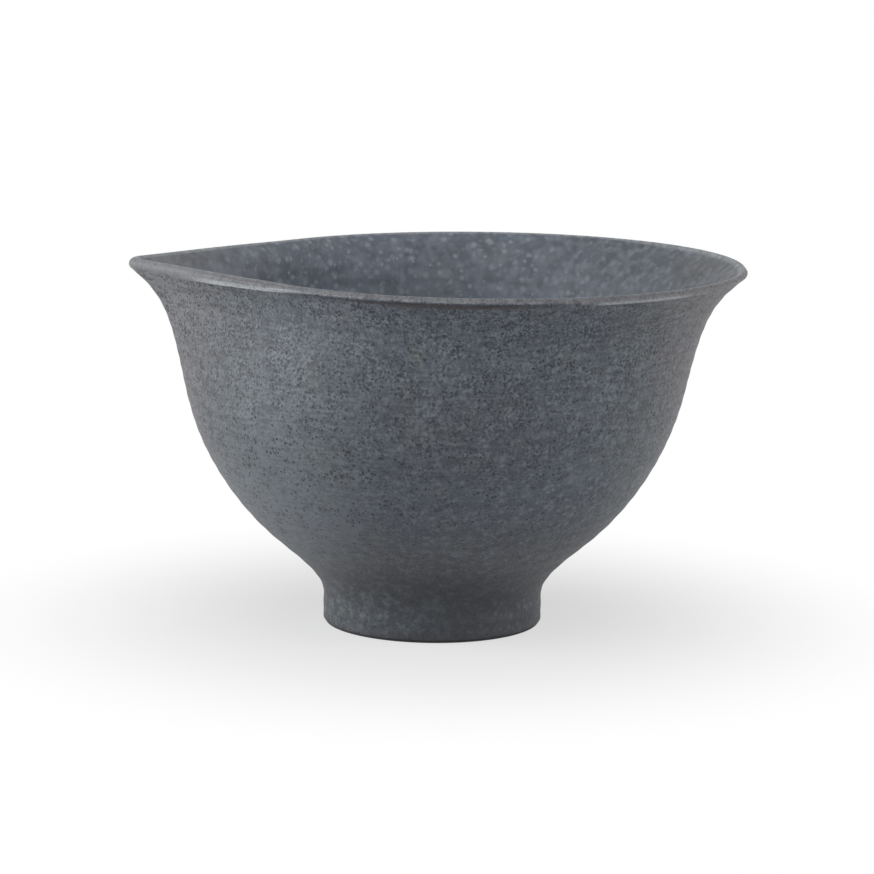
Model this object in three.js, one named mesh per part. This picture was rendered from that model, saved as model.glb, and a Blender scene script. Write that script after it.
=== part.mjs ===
// Pouring tea bowl in dark glazed stoneware: a thrown bowl with a pinched lip, luted to a foot ring,
// with a coat of glaze outside, one inside and one in the recess under the foot.
// Millimetres, +Z up. The origin is the centre of the ring under the foot, and the lip points along -X.
import * as THREE from "three";

// Rim, seen from above: a round end, slightly bulging flanks and a small nose for the lip
const HEIGHT = 75.2; // table to the crest of the rim
const RIM_WIDTH = 109; // across the round end
const LIP_LENGTH = 18.2; // how far the tip of the lip stands out past the round
const RIM_SHIFT = 0.4; // middle of the rim from the axis, away from the lip
const LIP_NOSE = 4.6; // radius of the tip of the lip
const FLANK_BULGE = 0.6; // how far the flanks stand out past straight ones
const PINCH_DEPTH = 38; // crest down to where the wall is round again

// Edge of the rim, seen in section: a flat face between two rounded corners, thicker and rounder at the lip
const RIM_THICKNESS = 1.5;
const RIM_ROUNDING = 0.28; // radius of the corners, as a share of the thickness
const LIP_THICKNESS = 2.4;
const LIP_ROUNDING = 0.48;
const LIP_RISE = 0.35; // tip of the lip above the crest
const LIP_FADE = 8; // how soon the edge turns from the lip's into the rim's, as a power

// Wall, drawn through a foot, a hip, a neck and the rim. A lean is in degrees from upright.
const RIM_LEAN = 52.2;
const FLARE = 12.2; // how far the rim stands out past the neck
const NECK_DROP = 25.4; // crest down to the neck
const NECK_LEAN = 12.8;
const NECK_THICKNESS = 3.6;
const HIP_RADIUS = 33.7;
const HIP_HEIGHT = 18.9;
const HIP_LEAN = 48.5;
const HIP_THICKNESS = 4.6;
const FLOOR_THICKNESS = 7.4; // with the glaze inside

// How full each curve is at its lower and at its upper end, as shares of its chord
const FILLET_FULLNESS = [0.26, 0.36];
const BELLY_FULLNESS = [0.25, 0.42];
const FLARE_FULLNESS = [0.54, 0.34];
const FLOOR_FULLNESS = [0.55, 0.25];

// Foot ring
const FOOT_RADIUS = 22.7;
const FOOT_HEIGHT = 6; // table to the seam between foot ring and bowl
const FOOT_WALL = 5.6;
const FOOT_OUTER_ROUND = 0.5;
const FOOT_INNER_ROUND = 1;

// Glaze
const GLAZE_THICKNESS = 0.3;
const BARE_BAND = 0.6; // table to the lower edge of the outside glaze
const WELL_MARGIN = 0.8; // clay left bare round the glaze in the recess

// Facets
const SEGMENTS = 60;
const LIP_CROWDING = 0.75; // how much the segments narrow towards the lip, from 0 to 1
const OUTSIDE_STEPS = 5;
const INSIDE_STEPS = 4;
const CORNER_STEPS = 1;
const ROUND_STEPS = 3;

const clay = new THREE.MeshStandardMaterial({ color: 0x4b4642, roughness: 0.9, metalness: 0 });
const outsideGlaze = new THREE.MeshStandardMaterial({ color: 0x565b62, roughness: 0.55, metalness: 0 });
const insideGlaze = new THREE.MeshStandardMaterial({ color: 0x666c74, roughness: 0.4, metalness: 0 });

const at = (radius, height) => new THREE.Vector2(radius, height);

// The direction up a wall that leans outwards.
function heading(lean) {
  const turn = THREE.MathUtils.degToRad(lean);
  return at(Math.sin(turn), Math.cos(turn));
}

// A place on the outside of the wall, moved square into the wall by a depth.
function turning(radius, height, lean, depth) {
  const along = heading(lean);
  return { place: at(radius - along.y * depth, height + along.x * depth), lean };
}

// Points on the curve from a lower turning to an upper one.
function sweep(lower, upper, fullness, steps) {
  const chord = lower.place.distanceTo(upper.place);
  const leaving = heading(lower.lean).multiplyScalar(chord * fullness[0]).add(lower.place);
  const arriving = heading(upper.lean).multiplyScalar(-chord * fullness[1]).add(upper.place);
  return new THREE.CubicBezierCurve(lower.place, leaving, arriving, upper.place).getPoints(steps);
}

// Points on an arc. Angles are in degrees from straight outwards, and 90 is up.
function arc(centre, radius, from, to, steps) {
  const range = Array.from({ length: steps + 1 }, (_, step) => from + ((to - from) * step) / steps);
  return range.map((angle) => {
    const turn = THREE.MathUtils.degToRad(angle);
    return at(centre.x + radius * Math.cos(turn), centre.y + radius * Math.sin(turn));
  });
}

const rimRound = RIM_WIDTH / 2;
const rimReach = (RIM_WIDTH + LIP_LENGTH) / 2 + RIM_SHIFT;
const lipReach = rimReach - 2 * RIM_SHIFT;
const neckRadius = rimReach - FLARE;
const neckHeight = HEIGHT - NECK_DROP;

// Centres and radius of the two corners of the rim's edge, before the rim is drawn in to its plan.
function edge(thickness, rounding, rise) {
  const radius = thickness * rounding;
  const along = heading(RIM_LEAN);
  const face = at(along.y, -along.x).multiplyScalar(thickness - 2 * radius);
  const inner = at(rimReach - radius - face.x, HEIGHT + rise - radius);
  return { inner, outer: inner.clone().add(face), radius };
}

const rimEdge = edge(RIM_THICKNESS, RIM_ROUNDING, 0);
const lipEdge = edge(LIP_THICKNESS, LIP_ROUNDING, LIP_RISE);

// Outside of the bowl from the top of the foot ring to the crest, at a depth under the glaze's surface.
function outsideLine({ inner, outer, radius }, depth) {
  const foot = turning(FOOT_RADIUS, FOOT_HEIGHT, 0, depth);
  const hip = turning(HIP_RADIUS, HIP_HEIGHT, HIP_LEAN, depth);
  const neck = turning(neckRadius, neckHeight, NECK_LEAN, depth);
  const underside = arc(outer, radius - depth, -RIM_LEAN, 0, CORNER_STEPS);
  const rim = { place: underside[0], lean: RIM_LEAN };
  return [
    ...sweep(foot, hip, FILLET_FULLNESS, OUTSIDE_STEPS),
    ...sweep(hip, neck, BELLY_FULLNESS, OUTSIDE_STEPS).slice(1),
    ...sweep(neck, rim, FLARE_FULLNESS, OUTSIDE_STEPS).slice(1),
    ...underside.slice(1),
    ...arc(outer, radius - depth, 0, 90 - RIM_LEAN, CORNER_STEPS).slice(1),
    ...arc(inner, radius - depth, 90 - RIM_LEAN, 90, CORNER_STEPS),
  ];
}

// Inside of the bowl from the crest to the middle of the floor, at a depth under the glaze's surface.
function insideLine({ inner, radius }, depth) {
  const corner = arc(inner, radius - depth, 90, 180 - RIM_LEAN, CORNER_STEPS);
  const rim = { place: corner[CORNER_STEPS], lean: RIM_LEAN };
  const neck = turning(neckRadius, neckHeight, NECK_LEAN, NECK_THICKNESS - depth);
  const hip = turning(HIP_RADIUS, HIP_HEIGHT, HIP_LEAN, HIP_THICKNESS - depth);
  const floor = { place: at(0, FOOT_HEIGHT + FLOOR_THICKNESS - depth), lean: 90 };
  return [
    ...corner,
    ...sweep(neck, rim, FLARE_FULLNESS, INSIDE_STEPS).reverse().slice(1),
    ...sweep(hip, neck, BELLY_FULLNESS, INSIDE_STEPS).reverse().slice(1),
    ...sweep(floor, hip, FLOOR_FULLNESS, INSIDE_STEPS).reverse().slice(1),
  ];
}

// Distance from the axis to the outside of the rim, at an angle from the lip.
function reachAt(angle) {
  const turn = Math.abs(angle);
  const noseCentre = lipReach - LIP_NOSE;
  const roundCentre = rimRound - rimReach;
  const flankTurn = Math.acos((rimRound - LIP_NOSE) / (noseCentre - roundCentre));
  const circleReach = (centre, radius) =>
    centre * Math.cos(turn) + Math.sqrt(radius ** 2 - (centre * Math.sin(turn)) ** 2);
  const touching = (centre, radius) =>
    Math.atan2(radius * Math.sin(flankTurn), centre + radius * Math.cos(flankTurn));
  const noseEnd = touching(noseCentre, LIP_NOSE);
  const roundStart = touching(roundCentre, rimRound);
  if (turn < noseEnd) return circleReach(noseCentre, LIP_NOSE);
  if (turn > roundStart) return circleReach(roundCentre, rimRound);
  const straight = (roundCentre * Math.cos(flankTurn) + rimRound) / Math.cos(turn - flankTurn);
  const share = (turn - noseEnd) / (roundStart - noseEnd);
  return straight + FLANK_BULGE * Math.sin(Math.PI * share) ** 2;
}

// Turns an outline round the axis, into the one at the lip and back again, and draws the upper wall in to
// the rim's plan.
function revolve(outline, outlineAtLip = outline) {
  const geometry = new THREE.LatheGeometry(outline, SEGMENTS);
  const places = geometry.getAttribute("position");
  for (let i = 0; i < places.count; i += 1) {
    const step = Math.floor(i / outline.length);
    const row = i % outline.length;
    const turn = ((2 * step) / SEGMENTS - 1) * Math.PI;
    const angle = turn - LIP_CROWDING * Math.sin(turn);
    const lipShare = ((1 + Math.cos(angle)) / 2) ** LIP_FADE;
    const place = outline[row].clone().lerp(outlineAtLip[row], lipShare);
    const risen = place.y - (HEIGHT - PINCH_DEPTH);
    const pinch = THREE.MathUtils.clamp(risen / (PINCH_DEPTH - RIM_THICKNESS), 0, 1);
    const radius = place.x - pinch ** 2 * (rimReach - reachAt(angle));
    places.setXYZ(i, -radius * Math.cos(angle), -radius * Math.sin(angle), place.y);
  }
  if (THREE.ShapeUtils.area(outline) < 0) turnInsideOut(geometry);
  geometry.computeVertexNormals();
  return geometry;
}

function turnInsideOut(geometry) {
  const corners = geometry.getIndex();
  for (let i = 0; i < corners.count; i += 3) {
    const first = corners.getX(i);
    corners.setX(i, corners.getX(i + 1));
    corners.setX(i + 1, first);
  }
}

// A piece of the bowl that reaches up to the rim, from its outline at an edge.
const upToRim = (outlineAt) => revolve(outlineAt(rimEdge), outlineAt(lipEdge));
const footWellRadius = FOOT_RADIUS - FOOT_WALL;

function bowlBody(edgeHere) {
  const outside = outsideLine(edgeHere, GLAZE_THICKNESS);
  const inside = insideLine(edgeHere, GLAZE_THICKNESS);
  return [at(0, FOOT_HEIGHT), ...outside, ...inside.slice(1)];
}

function outsideCoat(edgeHere) {
  const clayLine = [at(FOOT_RADIUS - GLAZE_THICKNESS, BARE_BAND), ...outsideLine(edgeHere, GLAZE_THICKNESS)];
  const skinLine = [at(FOOT_RADIUS, BARE_BAND), ...outsideLine(edgeHere, 0)];
  return [...clayLine, ...skinLine.reverse(), clayLine[0].clone()];
}

function insideCoat(edgeHere) {
  const clayLine = insideLine(edgeHere, GLAZE_THICKNESS);
  return [...clayLine, ...insideLine(edgeHere, 0).reverse(), clayLine[0].clone()];
}

function footRing() {
  const side = FOOT_RADIUS - GLAZE_THICKNESS;
  const innerCorner = at(footWellRadius + FOOT_INNER_ROUND, FOOT_INNER_ROUND);
  const outerCorner = at(side - FOOT_OUTER_ROUND, FOOT_OUTER_ROUND);
  const outline = [
    at(footWellRadius, FOOT_HEIGHT),
    ...arc(innerCorner, FOOT_INNER_ROUND, 180, 270, ROUND_STEPS),
    ...arc(outerCorner, FOOT_OUTER_ROUND, 270, 360, ROUND_STEPS),
    at(side, BARE_BAND),
    at(side, FOOT_HEIGHT),
  ];
  return revolve([...outline, outline[0].clone()]);
}

function footWellCoat() {
  const rim = footWellRadius - WELL_MARGIN;
  const underside = FOOT_HEIGHT - GLAZE_THICKNESS;
  return revolve([at(0, underside), at(rim, underside), at(rim, FOOT_HEIGHT), at(0, FOOT_HEIGHT)]);
}

function piece(name, geometry, material) {
  const mesh = new THREE.Mesh(geometry, material);
  mesh.name = name;
  return mesh;
}

const bowl = new THREE.Group();
bowl.name = "pouring_tea_bowl";
bowl.add(
  piece("bowl_body", upToRim(bowlBody), clay),
  piece("foot_ring", footRing(), clay),
  piece("outside_glaze", upToRim(outsideCoat), outsideGlaze),
  piece("inside_glaze", upToRim(insideCoat), insideGlaze),
  piece("foot_well_glaze", footWellCoat(), insideGlaze),
);

export default bowl;
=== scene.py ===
from functools import reduce
import math

import bpy
from bpy.props import FloatProperty, FloatVectorProperty, IntProperty, PointerProperty
from mathutils import Matrix, Vector


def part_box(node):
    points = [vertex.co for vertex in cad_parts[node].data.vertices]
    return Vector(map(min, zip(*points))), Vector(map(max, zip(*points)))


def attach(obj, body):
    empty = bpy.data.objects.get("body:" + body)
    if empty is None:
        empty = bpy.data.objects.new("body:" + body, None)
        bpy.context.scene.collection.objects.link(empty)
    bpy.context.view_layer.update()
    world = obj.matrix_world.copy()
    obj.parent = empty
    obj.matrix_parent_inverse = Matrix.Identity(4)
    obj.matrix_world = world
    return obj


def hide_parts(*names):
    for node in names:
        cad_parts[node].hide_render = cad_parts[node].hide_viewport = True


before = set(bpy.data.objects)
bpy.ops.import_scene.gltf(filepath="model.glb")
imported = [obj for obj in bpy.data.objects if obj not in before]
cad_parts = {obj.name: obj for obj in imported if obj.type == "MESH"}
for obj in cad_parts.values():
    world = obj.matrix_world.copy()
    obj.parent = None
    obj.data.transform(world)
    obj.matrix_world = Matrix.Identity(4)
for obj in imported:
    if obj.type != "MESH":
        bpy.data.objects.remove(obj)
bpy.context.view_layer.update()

bl_info = {
    "name": "Pouring Tea Bowl",
    "version": (1, 0, 0),
    "blender": (4, 5, 0),
    "location": "3D View > Sidebar > Tea Bowl",
    "description": "Makes a glazed stoneware tea bowl with a rim pinched into a pouring lip",
    "category": "Add Mesh",
}

MM = 0.001

# How far the tip of the lip stands above the crest of the rim
LIP_RISE = 0.35 * MM

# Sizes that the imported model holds
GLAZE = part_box("foot_well_glaze")[1].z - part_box("foot_well_glaze")[0].z
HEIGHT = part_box("outside_glaze")[1].z - LIP_RISE
LIP_REACH = -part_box("outside_glaze")[0].x
BACK_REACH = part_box("outside_glaze")[1].x
RIM_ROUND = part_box("outside_glaze")[1].y
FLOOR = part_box("inside_glaze")[0].z + GLAZE
FOOT_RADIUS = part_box("foot_ring")[1].x + GLAZE
FOOT_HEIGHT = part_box("foot_ring")[1].z
BARE_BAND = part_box("outside_glaze")[0].z
WELL_GLAZE_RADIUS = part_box("foot_well_glaze")[1].x

# How full each curve is at its lower and at its upper end, as shares of its chord
FILLET_FULLNESS = (0.26, 0.36)
BELLY_FULLNESS = (0.25, 0.42)
FLARE_FULLNESS = (0.54, 0.34)
FLOOR_FULLNESS = (0.55, 0.25)

# Fineness of the meshes
FINE_PITCH = 0.5 * MM
COARSE_PITCH = 4 * MM
ARC_STEPS = 10
MERGE_DISTANCE = 0.001 * MM

# The glaze's soft unevenness has this many swells to a metre, and carries the throwing rings up and down
SWELLS = 55.0
SWELL_MEAN = 0.6
RING_DRIFT = 9.0


def length(name, text, value):
    """A size that a user can change."""
    return FloatProperty(name=name, description=text, default=value, unit="LENGTH", precision=5)


def lean(name, text, degrees):
    """A lean from upright that a user can change."""
    return FloatProperty(name=name, description=text, default=math.radians(degrees), subtype="ANGLE")


def share(name, text, value):
    """A share of a whole that a user can change."""
    return FloatProperty(name=name, description=text, default=value, min=0, max=1, subtype="FACTOR")


def colour(name, text, value):
    """A colour that a user can change."""
    return FloatVectorProperty(name=name, description=text, default=value, subtype="COLOR", min=0, max=1)


class BowlShape(bpy.types.PropertyGroup):
    """Sizes of the bowl."""

    height: length("Height", "Table to the crest of the rim", HEIGHT)
    back_reach: length("Back reach", "Axis to the rim, straight across from the lip", BACK_REACH)
    lip_reach: length("Lip reach", "Axis to the tip of the lip", LIP_REACH)
    rim_round: length("Rim round", "Radius of the rim's round end, seen from above", RIM_ROUND)
    lip_nose: length("Lip nose", "Radius of the tip of the lip, seen from above", 4.6 * MM)
    flank_bulge: length("Flank bulge", "How far the rim's flanks stand out past straight ones", 0.6 * MM)
    pinch_depth: length("Pinch depth", "Crest down to where the wall is round again", 38 * MM)
    rim_thickness: length("Rim thickness", "Thickness of the rim's edge", 1.5 * MM)
    rim_rounding: share("Rim rounding", "Radius of the rim's corners, as a share of its thickness", 0.28)
    lip_thickness: length("Lip thickness", "Thickness of the edge at the tip of the lip", 2.4 * MM)
    lip_rounding: share("Lip rounding", "Radius of the lip's corners, as a share of its thickness", 0.48)
    lip_rise: length("Lip rise", "Tip of the lip above the crest", LIP_RISE)
    lip_fade: FloatProperty(
        name="Lip fade", description="How soon the lip's edge turns into the rim's", default=8
    )
    rim_lean: lean("Rim lean", "Lean of the wall where it meets the rim", 52.2)
    flare: length("Flare", "How far the rim stands out past the neck", 12.2 * MM)
    neck_drop: length("Neck drop", "Crest down to the neck, where the wall is steepest", 25.4 * MM)
    neck_lean: lean("Neck lean", "Lean of the wall at the neck", 12.8)
    neck_thickness: length("Neck thickness", "Wall thickness at the neck", 3.6 * MM)
    hip_radius: length("Hip radius", "Outside radius at the hip", 33.7 * MM)
    hip_height: length("Hip height", "Table to the hip", 18.9 * MM)
    hip_lean: lean("Hip lean", "Lean of the wall at the hip", 48.5)
    hip_thickness: length("Hip thickness", "Wall thickness at the hip", 4.6 * MM)
    floor: length("Floor", "Table to the middle of the floor inside", FLOOR)
    foot_radius: length("Foot radius", "Outside radius of the foot", FOOT_RADIUS)
    foot_height: length("Foot height", "Table to the seam of foot and bowl", FOOT_HEIGHT)
    foot_wall: length("Foot wall", "Thickness of the foot ring", 5.6 * MM)
    foot_outer_round: length("Outer round", "Rounding of the foot's outer edge", 0.5 * MM)
    foot_inner_round: length("Inner round", "Rounding of the foot's inner edge", 1 * MM)
    segments: IntProperty(name="Segments", description="Steps round the bowl", default=420, min=24, max=720)
    lip_crowding: share("Lip crowding", "How much the steps narrow towards the lip", 0.5)
    ring_depth: length("Ring depth", "Depth of the throwing rings", 0.035 * MM)
    ring_pitch: length("Ring pitch", "Height from one throwing ring to the next", 3.1 * MM)
    wobble: length("Wobble", "Depth of the soft unevenness of the glaze", 0.07 * MM)
    seed: IntProperty(name="Seed", description="Seed of the unevenness", default=3, min=0, max=99)


class BowlGlaze(bpy.types.PropertyGroup):
    """Colours of clay and glaze, as linear values. Some also stand for painted light, shade, sheen or
    highlights.
    """

    slate: colour("Slate", "Main colour of the glaze outside", (0.082, 0.099, 0.126))
    moss: colour("Moss", "Glaze that turned greenish in patches", (0.097, 0.110, 0.112))
    # Painted sheen: paler, warmer glaze outside, at the lip and across from it, where the wall turns edge-on
    side_sheen: colour("Warm", "Glaze warmed by the flame, at the lip and across from it", (0.146, 0.135, 0.146))
    # Darker glaze, also used as painted shade on the hip, in the middle of the front and inside across from
    # the lip
    dark_tone_and_shade: colour("Shade", "Dark glaze on the hip and the foot", (0.046, 0.048, 0.056))
    speck: colour("Speck", "Dark pin specks", (0.018, 0.021, 0.029))
    # Also painted light low on the flank under the lip
    bloom_and_light: colour("Bloom", "Pale crystals and flecks", (0.200, 0.224, 0.250))
    lichen: colour("Lichen", "Greenish bloom on the foot", (0.125, 0.172, 0.176))
    # Also the painted shade in a line under the rim's edge
    brown_and_shade: colour("Scorch", "Brown glaze just under the rim", (0.044, 0.034, 0.038))
    rust: colour("Rust", "Thin glaze along the rim", (0.088, 0.074, 0.072))
    # Also painted light on the outside of the lip and a painted highlight under it
    ash_and_light: colour("Ash", "Dry pale glaze on the rim's flat edge and on the lip", (0.236, 0.240, 0.254))
    # Worn glaze with a painted highlight: along the rim's crest and the corner of its face, and on the tip
    # of the lip
    wear_and_highlight: colour("Worn", "Glaze rubbed bright along the edge", (0.555, 0.580, 0.610))
    inside: colour("Inside", "Main colour of the glaze inside", (0.146, 0.170, 0.212))
    haze: colour("Haze", "Greenish patches of the glaze inside", (0.150, 0.170, 0.185))
    # Painted sheen inside, at the lip and across from it, where the wall turns edge-on
    grey_side_sheen: colour("Veil", "Greyer glaze inside, at the lip and across from it", (0.176, 0.182, 0.187))
    # Also painted light deep inside
    frost_and_light: colour("Frost", "Soft pale crystals inside", (0.330, 0.365, 0.420))
    clay: colour("Clay", "Bare clay", (0.030, 0.029, 0.029))


class BowlStage(bpy.types.PropertyGroup):
    """Floor, lamps and camera."""

    floor: colour("Floor", "Colour of the floor", (0.86, 0.86, 0.86))
    lens: FloatProperty(name="Lens", description="Focal length", default=151.64, unit="CAMERA")
    distance: length("Distance", "Axis to the camera, along the table", 752.3 * MM)
    camera_height: length("Camera height", "Table to the camera", 171.8 * MM)
    pitch: lean("Pitch", "How far the camera looks down", 10.033)
    yaw: lean("Yaw", "How far the camera turns to the right", 0.047)
    roll: lean("Roll", "How far the camera leans", 0.66)


# Outlines, as lists of points with their relief, which is 1 where the surface may be uneven. Each goes round
# its piece clockwise, seen with the axis on the left, so that the faces point outwards.


def heading(angle):
    """The direction up a wall that leans outwards."""
    return Vector((math.sin(angle), math.cos(angle)))


def turning(radius, height, angle, depth):
    """A place on the outside of the wall, moved square into the wall by a depth, and the lean there."""
    along = heading(angle)
    return Vector((radius - along.y * depth, height + along.x * depth)), angle


def sweep(lower, upper, fullness, steps):
    """Points on the curve from a lower turning to an upper one."""
    (start, start_lean), (end, end_lean) = lower, upper
    chord = (end - start).length
    leaving = start + heading(start_lean) * chord * fullness[0]
    arriving = end - heading(end_lean) * chord * fullness[1]
    points = []
    for step in range(steps + 1):
        t = step / steps
        near = start * (1 - t) ** 3 + leaving * 3 * t * (1 - t) ** 2
        points.append(near + arriving * 3 * t ** 2 * (1 - t) + end * t ** 3)
    return points


def arc(centre, radius, first, last, steps=ARC_STEPS):
    """Points on an arc. Angles are in radians from straight outwards, towards up."""
    angles = [first + (last - first) * step / steps for step in range(steps + 1)]
    return [centre + Vector((math.cos(angle), math.sin(angle))) * radius for angle in angles]


class Edge:
    """The rim's edge in section: a flat face between two rounded corners."""

    def __init__(self, shape, thickness, rounding, rise):
        self.radius = thickness * rounding
        along = heading(shape.rim_lean)
        face = Vector((along.y, -along.x)) * (thickness - 2 * self.radius)
        self.inner = Vector((shape.back_reach - self.radius - face.x, shape.height + rise - self.radius))
        self.outer = self.inner + face
        self.square = math.pi / 2 - shape.rim_lean


def rim_edge(shape):
    """The edge all round but for the lip."""
    return Edge(shape, shape.rim_thickness, shape.rim_rounding, 0)


def lip_edge(shape):
    """The thicker edge at the tip of the lip."""
    return Edge(shape, shape.lip_thickness, shape.lip_rounding, shape.lip_rise)


def steps_up(rise, pitch):
    """How many steps a curve takes for its rise."""
    return max(4, round(rise / pitch))


def outside_points(shape, edge, depth, pitch):
    """Outside of the bowl from the top of the foot ring to the crest, at a depth under the glaze."""
    corner = edge.radius - depth
    rounded = arc(edge.outer, corner, -shape.rim_lean, edge.square)
    rounded += arc(edge.inner, corner, edge.square, math.pi / 2)
    neck_height = shape.height - shape.neck_drop
    foot = turning(shape.foot_radius, shape.foot_height, 0, depth)
    hip = turning(shape.hip_radius, shape.hip_height, shape.hip_lean, depth)
    neck = turning(shape.back_reach - shape.flare, neck_height, shape.neck_lean, depth)
    top = (rounded[0], shape.rim_lean)
    points = sweep(foot, hip, FILLET_FULLNESS, steps_up(shape.hip_height - shape.foot_height, pitch))
    points += sweep(hip, neck, BELLY_FULLNESS, steps_up(neck_height - shape.hip_height, pitch))[1:]
    points += sweep(neck, top, FLARE_FULLNESS, steps_up(shape.neck_drop, pitch))[1:]
    return points + rounded[1:]


def inside_points(shape, edge, depth, pitch):
    """Inside of the bowl from the crest to the middle of the floor, at a depth under the glaze."""
    rounded = arc(edge.inner, edge.radius - depth, math.pi / 2, math.pi - shape.rim_lean)
    neck_height = shape.height - shape.neck_drop
    neck_depth = shape.neck_thickness - depth
    hip_depth = shape.hip_thickness - depth
    neck = turning(shape.back_reach - shape.flare, neck_height, shape.neck_lean, neck_depth)
    hip = turning(shape.hip_radius, shape.hip_height, shape.hip_lean, hip_depth)
    middle = (Vector((0, shape.floor - depth)), math.pi / 2)
    top = (rounded[-1], shape.rim_lean)
    points = rounded[:-1]
    points += sweep(neck, top, FLARE_FULLNESS, steps_up(shape.neck_drop, pitch))[::-1]
    points += sweep(hip, neck, BELLY_FULLNESS, steps_up(neck_height - shape.hip_height, pitch))[-2::-1]
    return points + sweep(middle, hip, FLOOR_FULLNESS, steps_up(shape.hip_radius, pitch))[-2::-1]


def marked(points, relief):
    """The points with their relief."""
    return [(point, relief) for point in points]


def body_outline(shape, edge):
    """The clay body, all of it under glaze or on the foot ring."""
    outside = outside_points(shape, edge, GLAZE, COARSE_PITCH)
    inside = inside_points(shape, edge, GLAZE, COARSE_PITCH)
    points = [Vector((0, shape.foot_height))] + outside + inside[1:]
    return marked(points[::-1], 0)


def foot_outline(shape, _edge):
    """The foot ring in clay, with its rounded bare edges."""
    side = shape.foot_radius - GLAZE
    well = shape.foot_radius - shape.foot_wall
    inner = Vector((well + shape.foot_inner_round, shape.foot_inner_round))
    outer = Vector((side - shape.foot_outer_round, shape.foot_outer_round))
    points = [Vector((well, shape.foot_height))]
    points += arc(inner, shape.foot_inner_round, math.pi, 1.5 * math.pi)
    points += arc(outer, shape.foot_outer_round, 1.5 * math.pi, 2 * math.pi)
    points += [Vector((side, BARE_BAND)), Vector((side, shape.foot_height)), points[0]]
    return marked(points[::-1], 0)


def outside_coat_outline(shape, edge):
    """The coat of glaze outside, with a rolled lower edge."""
    side = shape.foot_radius - GLAZE
    back = [Vector((side, BARE_BAND))] + outside_points(shape, edge, GLAZE, COARSE_PITCH)
    skin = outside_points(shape, edge, 0, FINE_PITCH)
    roll = arc(Vector((side, BARE_BAND + GLAZE)), GLAZE, 1.5 * math.pi, 2 * math.pi)
    straight = round((shape.foot_height - BARE_BAND - GLAZE) / FINE_PITCH)
    wall = [roll[-1].lerp(skin[0], step / straight) for step in range(1, straight)]
    rounded = 2 * ARC_STEPS + 1
    front = marked(wall + skin[:-rounded], 1) + marked(skin[-rounded:], 0)
    return marked(back, 0) + front[::-1] + marked(roll[::-1], 0)


def inside_coat_outline(shape, edge):
    """The coat of glaze inside."""
    back = inside_points(shape, edge, GLAZE, COARSE_PITCH)
    skin = inside_points(shape, edge, 0, FINE_PITCH)
    front = marked(skin[:ARC_STEPS], 0) + marked(skin[ARC_STEPS:-2], 1) + marked(skin[-2:], 0)
    return marked(back, 0) + front[::-1] + marked(back[:1], 0)


def well_coat_outline(shape, _edge):
    """The patch of glaze in the recess under the foot, with a rolled edge."""
    centre = Vector((WELL_GLAZE_RADIUS - GLAZE, shape.foot_height))
    points = [Vector((0, shape.foot_height - GLAZE)), Vector((2 * GLAZE, shape.foot_height - GLAZE))]
    points += arc(centre, GLAZE, 1.5 * math.pi, 2 * math.pi)
    points += [Vector((0, shape.foot_height))]
    return marked(points[::-1], 0)


# Geometry Nodes: an outline is turned round the axis and pinched into a lip


class Tree:
    """Adds nodes to a node tree, with values or links as their inputs."""

    def __init__(self, nodes, links):
        self.nodes = nodes
        self.links = links

    def add(self, kind, inputs=None, **settings):
        """A new node. Inputs are keyed by name or place, and settings are its properties."""
        node = self.nodes.new(kind)
        for name, value in settings.items():
            setattr(node, name, value)
        for key, value in (inputs or {}).items():
            if isinstance(value, bpy.types.NodeSocket):
                self.links.new(value, node.inputs[key])
            else:
                node.inputs[key].default_value = value
        return node

    def math(self, operation, *values):
        """The result of one sum."""
        return self.add("ShaderNodeMath", dict(enumerate(values)), operation=operation).outputs[0]

    def plus(self, first, second):
        """Two values added."""
        return self.math("ADD", first, second)

    def minus(self, first, second):
        """The first value less the second."""
        return self.math("SUBTRACT", first, second)

    def times(self, *values):
        """All the values multiplied."""
        return reduce(lambda total, value: self.math("MULTIPLY", total, value), values)

    def over(self, first, second):
        """The first value divided by the second."""
        return self.math("DIVIDE", first, second)

    def larger(self, first, second):
        """The larger of two values."""
        return self.math("MAXIMUM", first, second)

    def map(self, value, first, last, to_first=0.0, to_last=1.0, smooth=False):
        """The value carried from one range to another, and held at its ends."""
        kind = "SMOOTHSTEP" if smooth else "LINEAR"
        inputs = {0: value, 1: first, 2: last, 3: to_first, 4: to_last}
        return self.add("ShaderNodeMapRange", inputs, interpolation_type=kind).outputs[0]

    def split(self, place):
        """The X, Y and Z of a place."""
        return self.add("ShaderNodeSeparateXYZ", {0: place}).outputs

    def moved(self, operation, place, by):
        """The place with a sum done on it."""
        return self.add("ShaderNodeVectorMath", {0: place, 1: by}, operation=operation).outputs[0]

    def distance(self, place):
        """How far the place is from the origin."""
        return self.add("ShaderNodeVectorMath", {0: place}, operation="LENGTH").outputs["Value"]


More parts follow.
